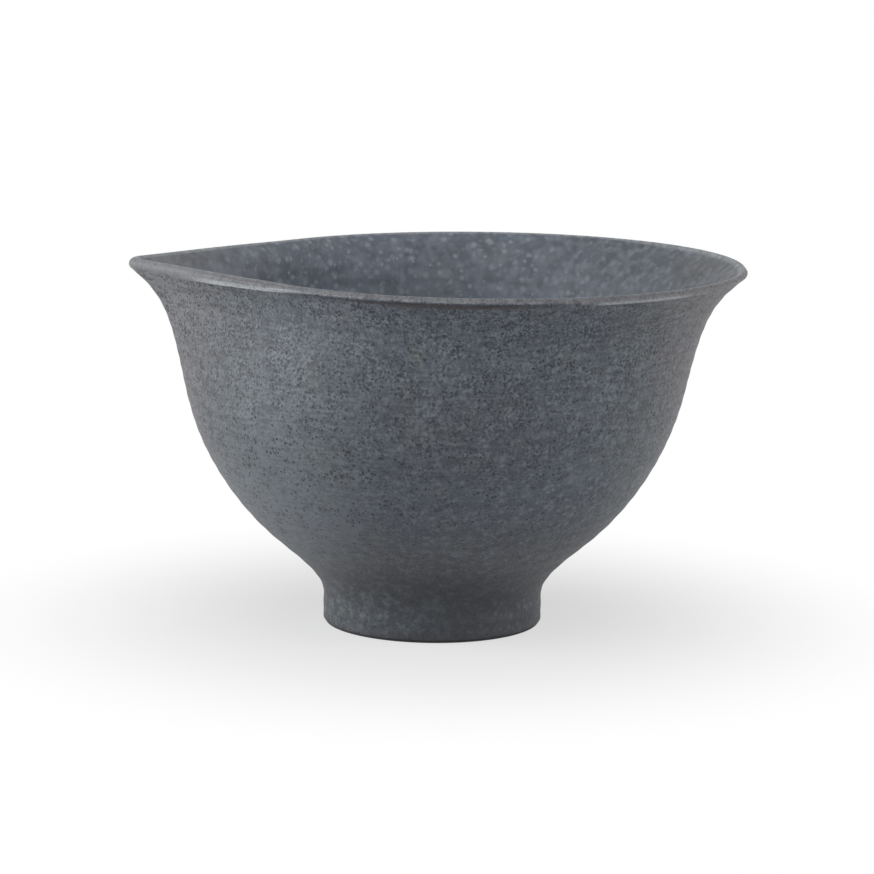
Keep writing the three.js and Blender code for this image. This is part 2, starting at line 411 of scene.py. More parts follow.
def reach_at(tree, angle, sizes):
    """Axis to the outside of the rim at an angle from the lip: a small nose, flanks and a round end."""
    turn = tree.math("ABSOLUTE", angle)
    sine, cosine = tree.math("SINE", turn), tree.math("COSINE", turn)
    nose, round_end = sizes["Lip nose"], sizes["Rim round"]
    nose_centre = tree.minus(sizes["Lip reach"], nose)
    round_centre = tree.minus(round_end, sizes["Back reach"])
    apart = tree.minus(nose_centre, round_centre)
    flank = tree.math("ARCCOSINE", tree.over(tree.minus(round_end, nose), apart))
    flank_sine, flank_cosine = tree.math("SINE", flank), tree.math("COSINE", flank)

    def on_circle(centre, radius):
        offset = tree.times(centre, sine)
        square = tree.minus(tree.math("POWER", radius, 2.0), tree.times(offset, offset))
        root = tree.math("SQRT", tree.larger(square, 0.0))
        return tree.plus(tree.times(centre, cosine), root)

    def touching(centre, radius):
        along = tree.plus(centre, tree.times(radius, flank_cosine))
        return tree.math("ARCTAN2", tree.times(radius, flank_sine), along)

    def pick(condition, yes, no):
        inputs = {"Switch": condition, "False": no, "True": yes}
        return tree.add("GeometryNodeSwitch", inputs, input_type="FLOAT").outputs[0]

    flank_away = tree.plus(tree.times(round_centre, flank_cosine), round_end)
    straight = tree.over(flank_away, tree.math("COSINE", tree.minus(turn, flank)))
    nose_end, round_start = touching(nose_centre, nose), touching(round_centre, round_end)
    wave = tree.math("SINE", tree.map(turn, nose_end, round_start, 0.0, math.pi))
    bulge = tree.times(wave, wave, sizes["Flank bulge"])
    at_round = tree.math("GREATER_THAN", turn, round_start)
    reach = pick(at_round, on_circle(round_centre, round_end), tree.plus(straight, bulge))
    return pick(tree.math("LESS_THAN", turn, nose_end), on_circle(nose_centre, nose), reach)


# Inputs of the node group. Each size has the name of a size of the bowl.
PROFILE = "Profile"
FINISH = "Finish"
COUNTS = ("Segments", "Seed")
SIZES = (
    "Height", "Back reach", "Lip reach", "Rim round", "Lip nose", "Flank bulge", "Pinch depth",
    "Rim thickness", "Lip fade", "Lip crowding", "Ring depth", "Ring pitch", "Wobble",
)


def blended(tree, amount, first, second):
    """One value turning into another."""
    return tree.add("ShaderNodeMix", {"Factor": amount, "A": first, "B": second}).outputs["Result"]


def pinched_revolve():
    """The node group that turns a profile into a bowl with a pouring lip."""
    group = bpy.data.node_groups.new("pinched_revolve", "GeometryNodeTree")
    inputs = [(PROFILE, "Geometry"), (FINISH, "Material")]
    inputs += [(name, "Int") for name in COUNTS] + [(name, "Float") for name in SIZES]
    for name, kind in inputs:
        group.interface.new_socket(name=name, in_out="INPUT", socket_type="NodeSocket" + kind)
    group.interface.new_socket(name="Bowl", in_out="OUTPUT", socket_type="NodeSocketGeometry")
    tree = Tree(group.nodes, group.links)
    sizes = tree.add("NodeGroupInput").outputs

    # A grid, with one row for each point of the profile and one column for each step round the axis
    count = tree.add("GeometryNodeAttributeDomainSize", {"Geometry": sizes[PROFILE]}).outputs["Point Count"]
    columns = tree.plus(sizes["Segments"], 1.0)
    inputs = {"Size X": 1.0, "Size Y": 1.0, "Vertices X": columns, "Vertices Y": count}
    grid = tree.add("GeometryNodeMeshGrid", inputs).outputs["Mesh"]
    position = tree.add("GeometryNodeInputPosition").outputs[0]
    here = tree.split(position)
    across = tree.plus(here["Y"], 0.5)
    row = tree.math("ROUND", tree.times(across, tree.minus(count, 1.0)))

    def from_profile(value):
        inputs = {"Geometry": sizes[PROFILE], "Value": value, "Index": row}
        node = tree.add("GeometryNodeSampleIndex", inputs, data_type="FLOAT", domain="POINT")
        return node.outputs["Value"]

    def own(name):
        node = tree.add("GeometryNodeInputNamedAttribute", {"Name": name}, data_type="FLOAT")
        return node.outputs["Attribute"]

    # The lip is where the turn is 0, and the steps are narrower there
    turn = tree.times(here["X"], 2 * math.pi)
    crowding = tree.times(sizes["Lip crowding"], tree.math("SINE", turn))
    angle = tree.minus(turn, crowding)
    towards = tree.over(tree.plus(tree.math("COSINE", angle), 1.0), 2.0)
    lip_share = tree.math("POWER", towards, sizes["Lip fade"])
    radius = blended(tree, lip_share, from_profile(here["X"]), from_profile(own("lip_radius")))
    height = blended(tree, lip_share, from_profile(here["Z"]), from_profile(own("lip_height")))
    risen = tree.minus(height, tree.minus(sizes["Height"], sizes["Pinch depth"]))
    whole = tree.minus(sizes["Pinch depth"], sizes["Rim thickness"])
    pinch = tree.math("POWER", tree.map(tree.over(risen, whole), 0.0, 1.0), 2.0)
    short = tree.minus(sizes["Back reach"], reach_at(tree, angle, sizes))
    drawn = tree.minus(radius, tree.times(pinch, short))
    x = tree.times(drawn, -1.0, tree.math("COSINE", angle))
    y = tree.times(drawn, tree.math("SINE", angle))
    turned = tree.add("ShaderNodeCombineXYZ", {"X": x, "Y": y, "Z": height}).outputs[0]
    bowl = grid
    for name in ("relief", "crest_distance"):
        inputs = {"Geometry": bowl, "Name": name, "Value": from_profile(own(name))}
        stored = tree.add("GeometryNodeStoreNamedAttribute", inputs, data_type="FLOAT", domain="POINT")
        bowl = stored.outputs[0]
    bowl = tree.add("GeometryNodeSetPosition", {"Geometry": bowl, "Position": turned}).outputs[0]
    bowl = tree.add("GeometryNodeMergeByDistance", {"Geometry": bowl, "Distance": MERGE_DISTANCE}).outputs[0]

    # Throwing rings and a soft unevenness, on the skin of the glaze only
    inputs = {"Vector": position, "W": sizes["Seed"], "Scale": SWELLS, "Detail": 3.0}
    soft = tree.add("ShaderNodeTexNoise", inputs, noise_dimensions="4D").outputs[0]
    drift = tree.times(tree.minus(soft, 0.5), RING_DRIFT)
    phase = tree.over(tree.times(here["Z"], 2 * math.pi), sizes["Ring pitch"])
    rings = tree.times(tree.math("SINE", tree.plus(phase, drift)), sizes["Ring depth"])
    swell = tree.times(tree.minus(soft, SWELL_MEAN), sizes["Wobble"])
    lift = tree.times(tree.plus(rings, swell), own("relief"))
    normal = tree.add("GeometryNodeInputNormal").outputs[0]
    offset = tree.add("ShaderNodeVectorMath", {0: normal, "Scale": lift}, operation="SCALE").outputs[0]
    bowl = tree.add("GeometryNodeSetPosition", {"Geometry": bowl, "Offset": offset}).outputs[0]
    bowl = tree.add("GeometryNodeSetShadeSmooth", {"Geometry": bowl}).outputs[0]
    bowl = tree.add("GeometryNodeRealizeInstances", {"Geometry": bowl}).outputs[0]
    bowl = tree.add("GeometryNodeSetMaterial", {"Geometry": bowl, "Material": sizes[FINISH]}).outputs[0]
    tree.add("NodeGroupOutput", {"Bowl": bowl})
    return group


def revolved(name, outline_at, shape, finish):
    """A plain mesh object: an outline turned round the axis and pinched, in its place in the frame."""
    outline = outline_at(shape, rim_edge(shape))
    at_lip = [point for point, _ in outline_at(shape, lip_edge(shape))]
    crest = rim_edge(shape).inner + Vector((0, rim_edge(shape).radius))
    mesh = bpy.data.meshes.new(name)
    mesh.from_pydata([(point.x, 0, point.y) for point, _ in outline], [], [])
    values = {
        "relief": [relief for _, relief in outline],
        "lip_radius": [point.x for point in at_lip],
        "lip_height": [point.y for point in at_lip],
        "crest_distance": [(point - crest).length for point, _ in outline],
    }
    for attribute, numbers in values.items():
        mesh.attributes.new(attribute, "FLOAT", "POINT").data.foreach_set("value", numbers)
    piece = bpy.data.objects.new(name, mesh)
    bpy.context.collection.objects.link(piece)
    modifier = piece.modifiers.new("revolve", "NODES")
    modifier.node_group = bpy.data.node_groups.get("pinched_revolve") or pinched_revolve()
    for socket in modifier.node_group.interface.items_tree:
        if socket.name in COUNTS + SIZES:
            modifier[socket.identifier] = getattr(shape, socket.name.lower().replace(" ", "_"))
        elif socket.name == FINISH:
            modifier[socket.identifier] = finish
    piece.update_tag()
    depsgraph = bpy.context.evaluated_depsgraph_get()
    turned = bpy.data.meshes.new_from_object(piece.evaluated_get(depsgraph), depsgraph=depsgraph)
    piece.modifiers.remove(modifier)
    turned.name = name
    piece.data = turned
    bpy.data.meshes.remove(mesh)
    return piece


# Finishes. Places across the bowl run along X with the lip at the low end, and heights start at the table.

# Patches of the glaze outside, most of them painted light or painted shade, each with its middle and how far
# it fades out, in millimetres
# Painted shade in the middle of the front at mid-height
CENTRE_PAINTED_SHADE = ((7, -48, 48), (34, 40, 18))
# Painted light low on the flank under the lip, towards the front
LEFT_FLANK_PAINTED_LIGHT = ((-33, -34, 32), (27, 46, 34))
# Painted light high on the outside of the lip
LIP_PAINTED_LIGHT = ((-60, 0, 70), (29, 62, 24))
# Painted highlight under the lip
UNDER_LIP_HIGHLIGHT = ((-55, -14, 66), (11, 20, 11))
UNDER_RIM = ((-22, -46, 71), (12, 9, 4))
# Painted highlight on the tip of the lip
LIP_TIP_HIGHLIGHT = ((-68, 0, 73), (14, 20, 8))

# Sizes of the features of each noise
COLOUR_PATCH = 8 * MM
CROWD = 5 * MM
OUTSIDE_CLOUD = 2 * MM
OUTSIDE_GRAIN = 0.54 * MM
THROWN_ROW = 0.7 * MM
ROW_SQUEEZE = (0.12, 0.12, 1.0)
LICHEN_PATCH = 0.9 * MM
RIM_PATCH = 1.6 * MM
RIM_GRAIN = 0.42 * MM
INSIDE_CLOUD = 4 * MM
INSIDE_HAZE = 2.2 * MM
INSIDE_GRAIN = 0.8 * MM
CLAY_GRAIN = 0.5 * MM

# Dots in the glaze, each kind with its spacing and its largest radius
SPECKS = (0.62 * MM, 0.33 * MM)
CRYSTALS = (1.5 * MM, 0.55 * MM)
INSIDE_CRYSTALS = (1.75 * MM, 0.78 * MM)
SMALL_CRYSTALS = (1.2 * MM, 0.5 * MM)

# What pushes the dots out of round, as the size of its features and how far it pushes
SPECK_PUSH = (0.6 * MM, 0.2 * MM)
CRYSTAL_PUSH = (1 * MM, 0.6 * MM)
INSIDE_PUSH = (1.6 * MM, 0.6 * MM)

# Heights between which something in the glaze grows or fades
# Darker glaze on the hip, partly painted shade of the down-facing wall
HIP_SHADE = (13 * MM, 40 * MM)
MOTTLING_GROWS = (14 * MM, 66 * MM)
ROWS_GROW = (12 * MM, 50 * MM)
SPECKS_GROW = (18 * MM, 62 * MM)
CRYSTALS_GROW = (14 * MM, 32 * MM)
FOOT_EDGE = (0.8 * MM, 3 * MM)
FOOT_SPECKS = (3 * MM, 7 * MM)
FOOT_TOP = (6 * MM, 12 * MM)
DARKER_TO_FOOT = (6 * MM, 21 * MM)
# Painted light that makes the inside paler deep down
DEEP_PAINTED_LIGHT = (56 * MM, 71 * MM)

# Places across the bowl between which something in the glaze grows or fades
# Where the painted sheen of the sides begins, outside and inside, how soft its start is and how far it
# wanders
OUTSIDE_SHEEN_REACH = 40 * MM
INSIDE_SHEEN_REACH = 48 * MM
SHEEN_BLUR = 10 * MM
SHEEN_WANDERS = 20 * MM
GREEN_BLUR = 12 * MM
CALMER = (0.0, 50 * MM)
MORE_CRYSTALS = (-20 * MM, 30 * MM)
LEE_SIDE = (-15 * MM, 6 * MM)
FOOT_FLECKS = (4 * MM, 16 * MM)
ASH_TO_LIP = (-26 * MM, -50 * MM)
# Painted shade inside, across from the lip
INSIDE_PAINTED_SHADE = (20 * MM, 46 * MM)
FEWER_CRYSTALS = (14 * MM, 44 * MM)
FROM_LIP = (-50 * MM, -32 * MM)
# Where the painted highlight on the inside crest widens
WIDE_CREST_HIGHLIGHT = (40 * MM, 50 * MM)

# Stretches of the rim across the bowl. Those of three values are a start, an end and their blur.
PAST_LIP = (-54 * MM, -34 * MM)
LIP_END = (-34 * MM, -24 * MM)
BACK_END = (22 * MM, 34 * MM)
FACE_WIDENS = (22 * MM, 31 * MM)
LINE_MIDDLE = 3 * MM
LINE_NARROWS = (10 * MM, 22 * MM)
LINE_FADES = (6 * MM, 26 * MM)
LOWER_DARK_SPAN = (-12 * MM, 12 * MM, 12 * MM)
FRECKLED = (-50 * MM, -38 * MM, 6 * MM)
# Where the worn line with its painted highlight is strongest, at the lip and across from it
HIGHLIGHT_AT_LIP = (-49 * MM, -28 * MM, 6 * MM)
HIGHLIGHT_AT_BACK = (31 * MM, 50 * MM, 2 * MM)
HIGHLIGHT_STARTS = (-58 * MM, -47 * MM)

# Bands along the rim. Those of the crest's painted highlight, the dry face and its groove count from the
# crest, and those of the worn line with its painted highlight, the line of painted shade, the lower dark
# band and the freckles from the lower edge of the face.
CREST_HIGHLIGHT = (-0.5 * MM, 0.2 * MM, 0.08 * MM)
FACE_STARTS = (0.1 * MM, 0.3 * MM)
FACE_WIDTHS = (1 * MM, 1.4 * MM)
WIDER_AT_LIP = 0.38 * MM
FACE_FADE = 0.2 * MM
GROOVE = (0.5 * MM, 1 * MM, 0.2 * MM)
HIGHLIGHT_LINE = 0.16 * MM
HIGHLIGHT_HALF_WIDTHS = (0.12 * MM, 0.19 * MM)
# The line of painted shade under the face
LINE_STARTS = (0.3 * MM, 0.5 * MM)
LINE_WIDTHS = (0.1 * MM, 0.75 * MM)
LINE_ENDS = (0.25 * MM, 0.7 * MM)
LOWER_DARK_BAND = (0.7 * MM, 3.1 * MM, 0.8 * MM)
FRECKLES = (0.5 * MM, 1.7 * MM, 0.5 * MM)
INSIDE_CREST_HIGHLIGHT_WIDTHS = (1.2 * MM, 2.4 * MM)

# Roughness in the low and the high grain, and bumps as their strength and height
OUTSIDE_ROUGHNESS = (0.62, 0.5)
INSIDE_ROUGHNESS = (0.72, 0.6)
CLAY_ROUGHNESS = 0.88
OUTSIDE_BUMP = (0.5, 0.12 * MM)
INSIDE_BUMP = (0.3, 0.08 * MM)
CLAY_BUMP = (0.6, 0.15 * MM)

# Where the mix node keeps its colours
MIX_FIRST = 6
MIX_SECOND = 7
MIX_RESULT = 2


def finish_tree(name):
    """A new material with its node tree, its shader and its object coordinates."""
    material = bpy.data.materials.new(name)
    material.use_nodes = True
    tree = Tree(material.node_tree.nodes, material.node_tree.links)
    shader = material.node_tree.nodes["Principled BSDF"]
    place = tree.add("ShaderNodeTexCoord").outputs["Object"]
    return material, tree, shader, place


def noise(tree, place, size, detail=3.0, roughness=0.55):
    """Noise from 0 to 1 with features of a size."""
    inputs = {"Vector": place, "Scale": 1 / size, "Detail": detail, "Roughness": roughness}
    return tree.add("ShaderNodeTexNoise", inputs).outputs[0]


def tinted(tree, base, tint, *amounts):
    """The base colour turned towards a tint by the product of the amounts."""
    start = base if isinstance(base, bpy.types.NodeSocket) else (*base, 1)
    inputs = {0: tree.times(*amounts), MIX_FIRST: start, MIX_SECOND: (*tint, 1)}
    return tree.add("ShaderNodeMix", inputs, data_type="RGBA").outputs[MIX_RESULT]


def warped(tree, place, size, amount):
    """Coordinates pushed about by a noise, so that round shapes turn uneven."""
    inputs = {"Vector": place, "Scale": 1 / size, "Detail": 2.0}
    push = tree.add("ShaderNodeTexNoise", inputs).outputs["Color"]
    middle = tree.moved("SUBTRACT", push, (0.5, 0.5, 0.5))
    inputs = {0: middle, 1: (amount, amount, amount), 2: place}
    return tree.add("ShaderNodeVectorMath", inputs, operation="MULTIPLY_ADD").outputs[0]


def dots(tree, place, spacing, largest, chance, softness=0.2):
    """Round dots of varied size, 1 in their middle. The share of cells that hold one may be a socket."""
    cells = tree.add("ShaderNodeTexVoronoi", {"Vector": place, "Scale": 1 / spacing})
    drawn = tree.add("ShaderNodeSeparateColor", {0: cells.outputs["Color"]}).outputs
    size = tree.times(tree.map(drawn[0], 0.0, 1.0, 0.4, 1.0), largest / spacing)
    near = tree.over(cells.outputs["Distance"], size)
    dot = tree.map(near, 1 - softness, 1 + softness, 1.0, 0.0, smooth=True)
    return tree.times(dot, tree.math("LESS_THAN", drawn[1], chance))


def between(tree, value, first, last, blur):
    """1 from the first value to the last, with blurred ends."""
    begun = tree.map(value, first - blur, first + blur, smooth=True)
    return tree.times(begun, tree.map(value, last - blur, last + blur, 1.0, 0.0, smooth=True))


def spot(tree, place, centre, size):
    """1 at one place on the bowl, fading out to 0 at a size away from it."""
    middle = tree.moved("SUBTRACT", place, Vector(centre) * MM)
    away = tree.distance(tree.moved("DIVIDE", middle, Vector(size) * MM))
    return tree.map(away, 0.1, 1.0, 1.0, 0.0, smooth=True)


def bumped(tree, shader, height, strength, distance):
    """Raises the surface by a height map."""
    inputs = {"Strength": strength, "Distance": distance, "Height": height}
    tree.links.new(tree.add("ShaderNodeBump", inputs).outputs[0], shader.inputs["Normal"])


def crest_distance(tree):
    """How far a place is from the crest of the rim, in the plain rim's section."""
    return tree.add("ShaderNodeAttribute", attribute_name="crest_distance").outputs["Fac"]


def rim_colour(tree, place, base, glaze):
    """The rim's edge outside: dry on its flat face, worn pale with a painted highlight on its corner, and
    painted shade under it.
    """
    away = crest_distance(tree)
    across = tree.split(place)["X"]
    past_lip = tree.map(across, *PAST_LIP, smooth=True)
    at_lip = tree.map(across, *LIP_END, 1.0, 0.0)
    at_back = tree.map(across, *BACK_END)
    patchy = noise(tree, place, RIM_PATCH, 4.0, 0.7)
    fine = noise(tree, place, RIM_GRAIN, 1.0, 0.6)

    # The dry face, which widens towards the lip and across from it, where a dark groove runs along it
    edge = tree.map(across, *FACE_WIDENS, *FACE_WIDTHS)
    low = tree.minus(away, tree.math("MULTIPLY_ADD", at_lip, WIDER_AT_LIP, edge))
    face = tree.times(tree.map(away, *FACE_STARTS), tree.map(low, 0.0, FACE_FADE, 1.0, 0.0))
    base = tinted(tree, base, glaze.ash_and_light, face, tree.map(patchy, 0.4, 0.58, 0.4, 0.85))
    bare = tree.times(face, past_lip, tree.map(patchy, 0.5, 0.42, 0.0, 0.2))
    ends = tree.larger(at_lip, at_back)
    groove = tree.times(between(tree, away, *GROOVE), ends, past_lip, 0.5)
    base = tinted(tree, base, glaze.rust, tree.larger(bare, groove))
    base = tinted(tree, base, glaze.brown_and_shade, face, past_lip, tree.map(fine, 0.45, 0.34, 0.0, 0.7))

    # Painted shade in a line under the face, widest in the middle of the side, a darker band below it, and
    # freckles by the lip
    aside = tree.math("ABSOLUTE", tree.minus(across, LINE_MIDDLE))
    middle = tree.map(aside, *LINE_NARROWS, 1.0, 0.0)
    below = tree.minus(low, tree.map(middle, 0.0, 1.0, *LINE_WIDTHS))
    strength = tree.map(middle, 0.0, 1.0, tree.map(across, *LINE_FADES, 0.55, 0.1), 0.95)
    shade_line = tree.times(tree.map(low, *LINE_STARTS), tree.map(below, *LINE_ENDS, 1.0, 0.0), past_lip)
    shade_line = tree.times(shade_line, strength, tree.map(fine, 0.35, 0.55, 0.6, 1.0))
    lower_dark_band = tree.times(between(tree, low, *LOWER_DARK_BAND), between(tree, across, *LOWER_DARK_SPAN), past_lip)
    lower_dark_band = tree.times(lower_dark_band, tree.map(patchy, 0.45, 0.6, 0.0, 0.3))
    freckles = tree.times(between(tree, low, *FRECKLES), between(tree, across, *FRECKLED))
    freckles = tree.times(freckles, tree.map(fine, 0.52, 0.38, 0.0, 0.7))
    dark_marks_and_shade = tree.larger(shade_line, tree.larger(lower_dark_band, freckles))
    base = tinted(tree, base, glaze.brown_and_shade, dark_marks_and_shade)

    # Painted highlights along the crest in patches, and worn glaze with a painted highlight along the edge
    # of the face, most of all at both ends
    crest = between(tree, away, *CREST_HIGHLIGHT)
    base = tinted(tree, base, glaze.wear_and_highlight, crest, tree.map(patchy, 0.35, 0.6, 0.15, 0.4))
    back_highlight = between(tree, across, *HIGHLIGHT_AT_BACK)
    end_highlights = tree.larger(between(tree, across, *HIGHLIGHT_AT_LIP), tree.times(back_highlight, 0.8))
    wear_and_highlight = tree.larger(end_highlights, tree.map(patchy, 0.45, 0.6, 0.0, 0.35))
    half_width = tree.map(tree.larger(at_lip, back_highlight), 0.0, 1.0, *HIGHLIGHT_HALF_WIDTHS)
    off = tree.over(tree.math("ABSOLUTE", tree.minus(low, HIGHLIGHT_LINE)), half_width)
    highlight_line = tree.map(off, 0.6, 1.6, 1.0, 0.0, smooth=True)
    started = tree.map(across, *HIGHLIGHT_STARTS, smooth=True)
    return tinted(tree, base, glaze.wear_and_highlight, highlight_line, started, wear_and_highlight, tree.map(fine, 0.36, 0.54, 0.5, 1.0))


def coloured(tree, place, main, green, side_sheen, reach):
    """Glaze that turns greenish in patches and near a reach towards the lip and across from it, and past
    that reach turns to a painted sheen, where the wall turns edge-on.
    """
    patch = noise(tree, place, COLOUR_PATCH, 3.0, 0.6)
    across = tree.math("ABSOLUTE", tree.split(place)["X"])
    uneven = tree.plus(across, tree.times(tree.minus(patch, 0.5), SHEEN_WANDERS))
    side = tree.times(tree.map(uneven, reach - GREEN_BLUR, reach), 0.75)
    turned = tree.larger(side, tree.map(patch, 0.52, 0.66))
    base = tinted(tree, main, green, turned, 0.8)
    # Painted sheen where the wall turns edge-on, towards the lip and across from it
    return tinted(tree, base, side_sheen, tree.map(uneven, reach, reach + SHEEN_BLUR, 0.0, 0.9, smooth=True))


def outside_glaze_finish(glaze):
    """Satin slate glaze: finely mottled and specked above, dark on the hip, partly as painted shade, bloomed
    on the foot, with painted light, shade, sheen and highlights in places.
    """
    material, tree, shader, place = finish_tree("slate_glaze")
    here = tree.split(place)
    across, rise = here["X"], here["Z"]
    grain = noise(tree, place, OUTSIDE_GRAIN, 1.0, 0.6)
    cloud = noise(tree, place, OUTSIDE_CLOUD, 3.0, 0.6)
    base = coloured(tree, place, glaze.slate, glaze.moss, glaze.side_sheen, OUTSIDE_SHEEN_REACH)
    # Darker towards the foot, partly painted shade of the down-facing hip, and painted shade in the middle
    # of the front
    hip = tree.map(rise, *HIP_SHADE, 0.92, 0.0, smooth=True)
    centre_shade = tree.times(spot(tree, place, *CENTRE_PAINTED_SHADE), 0.5)
    base = tinted(tree, base, glaze.dark_tone_and_shade, tree.larger(hip, centre_shade))
    # Painted light low on the flank under the lip
    base = tinted(tree, base, glaze.bloom_and_light, spot(tree, place, *LEFT_FLANK_PAINTED_LIGHT), 0.72)
    # Painted light on the outside of the lip, a painted highlight under the lip, and a paler spot under the
    # front rim
    lip_light = tree.times(spot(tree, place, *LIP_PAINTED_LIGHT), 0.65)
    under = tree.larger(spot(tree, place, *UNDER_LIP_HIGHLIGHT), spot(tree, place, *UNDER_RIM))
    base = tinted(tree, base, glaze.ash_and_light, tree.plus(lip_light, tree.times(under, 0.4)))
    # Painted highlight on the tip of the lip
    base = tinted(tree, base, glaze.wear_and_highlight, spot(tree, place, *LIP_TIP_HIGHLIGHT), 0.35)

    # Mottling, weaker towards the foot and on the side across from the lip
    calm = tree.map(across, *CALMER, 1.0, 0.7, smooth=True)
    crowd = tree.map(noise(tree, place, CROWD, 3.0, 0.6), 0.42, 0.56, 0.45, 1.0)
    strength = tree.times(tree.map(rise, *MOTTLING_GROWS, 0.25, 1.1), crowd)
    base = tinted(tree, base, glaze.speck, tree.map(grain, 0.5, 0.36), strength, calm, 0.62)
    base = tinted(tree, base, glaze.bloom_and_light, tree.map(grain, 0.5, 0.66), strength, 0.72)
    base = tinted(tree, base, glaze.bloom_and_light, tree.map(cloud, 0.5, 0.7), 0.32)
    base = tinted(tree, base, glaze.speck, tree.map(cloud, 0.46, 0.3), 0.3)
    streaks = noise(tree, tree.moved("MULTIPLY", place, ROW_SQUEEZE), THROWN_ROW, 2.0, 0.6)
    rows = tree.map(rise, *ROWS_GROW, 0.2, 1.0)
    base = tinted(tree, base, glaze.dark_tone_and_shade, tree.map(streaks, 0.5, 0.34, 0.0, 0.5), rows)
    base = tinted(tree, base, glaze.bloom_and_light, tree.map(streaks, 0.54, 0.7, 0.0, 0.25), rows)

    # Dark pin specks in clusters, and pale crystals
    cluster = tree.map(cloud, 0.6, 0.38, 0.3, 1.0)
    many = tree.times(tree.map(rise, *SPECKS_GROW, 0.1, 1.0), cluster, calm, crowd)
    many = tree.larger(many, tree.map(rise, *FOOT_SPECKS, 0.4, 0.0))
    specks = dots(tree, warped(tree, place, *SPECK_PUSH), *SPECKS, many)
    base = tinted(tree, base, glaze.speck, specks, 0.95)
    crystals = dots(tree, warped(tree, place, *CRYSTAL_PUSH), *CRYSTALS, 0.6, 0.8)
    more = tree.map(across, *MORE_CRYSTALS, 0.35, 0.7)
    base = tinted(tree, base, glaze.bloom_and_light, crystals, more, tree.map(rise, *CRYSTALS_GROW, 0.15, 1.0))

    # Greenish bloom on the foot under the lip, and darker towards the foot round the rest of it
    lee = tree.map(across, *LEE_SIDE, smooth=True)
    darker_to_foot = tree.map(rise, *DARKER_TO_FOOT, 0.6, 0.0, smooth=True)
    base = tinted(tree, base, glaze.speck, darker_to_foot, tree.map(lee, 0.0, 1.0, 0.15, 1.0))
    foot = tree.times(tree.map(rise, *FOOT_TOP, 0.8, 0.0, smooth=True), tree.map(rise, *FOOT_EDGE))
    patches = tree.map(noise(tree, place, LICHEN_PATCH, 3.0, 0.6), 0.42, 0.62)
    patches = tree.times(patches, tree.map(cloud, 0.4, 0.6))
    base = tinted(tree, base, glaze.lichen, patches, foot, tree.map(lee, 0.0, 1.0, 1.0, 0.15))
    base = tinted(tree, base, glaze.ash_and_light, crystals, foot, tree.map(across, *FOOT_FLECKS, 0.0, 0.35))
    base = rim_colour(tree, place, base, glaze)
    tree.links.new(base, shader.inputs["Base Color"])
    tree.links.new(tree.map(grain, 0.3, 0.7, *OUTSIDE_ROUGHNESS), shader.inputs["Roughness"])
    pits = tree.minus(tree.times(grain, 0.6), tree.times(specks, 0.5))
    bumped(tree, shader, pits, *OUTSIDE_BUMP)
    return material


def inside_glaze_finish(glaze):
    """Smoother blue-grey glaze with soft pale crystals, with painted light deep down, painted shade across
    from the lip, painted sheen at the sides and a painted highlight on the crest.
    """
    material, tree, shader, place = finish_tree("blue_grey_glaze")
    here = tree.split(place)
    across = here["X"]
    grain = noise(tree, place, INSIDE_GRAIN, 3.0, 0.6)
    cloud = noise(tree, place, INSIDE_CLOUD, 3.0)
    soft = noise(tree, place, INSIDE_HAZE, 1.0, 0.5)
    # Painted sheen inside towards the lip and across from it
    base = coloured(tree, place, glaze.inside, glaze.haze, glaze.grey_side_sheen, INSIDE_SHEEN_REACH)
    # Painted light deep inside, filling its shade
    base = tinted(tree, base, glaze.frost_and_light, tree.map(here["Z"], *DEEP_PAINTED_LIGHT, 0.5, 0.0, smooth=True))
    base = tinted(tree, base, glaze.ash_and_light, tree.map(across, *ASH_TO_LIP, 0.0, 0.6, smooth=True))
    # Painted shade inside, across from the lip
    base = tinted(tree, base, glaze.dark_tone_and_shade, tree.map(across, *INSIDE_PAINTED_SHADE, 0.0, 0.3, smooth=True))
    base = tinted(tree, base, glaze.dark_tone_and_shade, tree.map(cloud, 0.55, 0.35, 0.0, 0.4))
    base = tinted(tree, base, glaze.frost_and_light, tree.map(soft, 0.45, 0.75, 0.0, 0.35))

    # Pale crystals, fewer towards the lip and across from it
    uneven = warped(tree, place, *INSIDE_PUSH)
    crystals = dots(tree, uneven, *INSIDE_CRYSTALS, tree.map(soft, 0.35, 0.6, 0.3, 0.95), 0.7)
    small = dots(tree, uneven, *SMALL_CRYSTALS, 0.5, 0.9)
    pale = tree.larger(tree.times(crystals, 0.8), tree.times(small, 0.3))
    fewer = tree.map(across, *FEWER_CRYSTALS, 1.0, 0.35)
    base = tinted(tree, base, glaze.frost_and_light, pale, fewer, tree.map(across, *FROM_LIP, 0.3, 1.0))

    # Painted highlight along the crest, most widely across from the lip
    edge = tree.map(across, *WIDE_CREST_HIGHLIGHT, *INSIDE_CREST_HIGHLIGHT_WIDTHS)
    crest = tree.map(tree.over(crest_distance(tree), edge), 0.2, 0.8, 0.8, 0.0, smooth=True)
    patchy = noise(tree, place, RIM_PATCH, 4.0, 0.7)
    base = tinted(tree, base, glaze.wear_and_highlight, crest, tree.map(patchy, 0.4, 0.6, 0.3, 0.9))
    tree.links.new(base, shader.inputs["Base Color"])
    tree.links.new(tree.map(grain, 0.3, 0.7, *INSIDE_ROUGHNESS), shader.inputs["Roughness"])
    bumped(tree, shader, grain, *INSIDE_BUMP)
    return material


def clay_finish(glaze):
    """Bare dark stoneware with a fine grain."""
    material, tree, shader, place = finish_tree("bare_stoneware")
    grain = noise(tree, place, CLAY_GRAIN, 4.0, 0.7)
    base = tinted(tree, glaze.clay, glaze.dark_tone_and_shade, tree.map(grain, 0.35, 0.7))
    tree.links.new(base, shader.inputs["Base Color"])
    shader.inputs["Roughness"].default_value = CLAY_ROUGHNESS
    bumped(tree, shader, grain, *CLAY_BUMP)
    return material


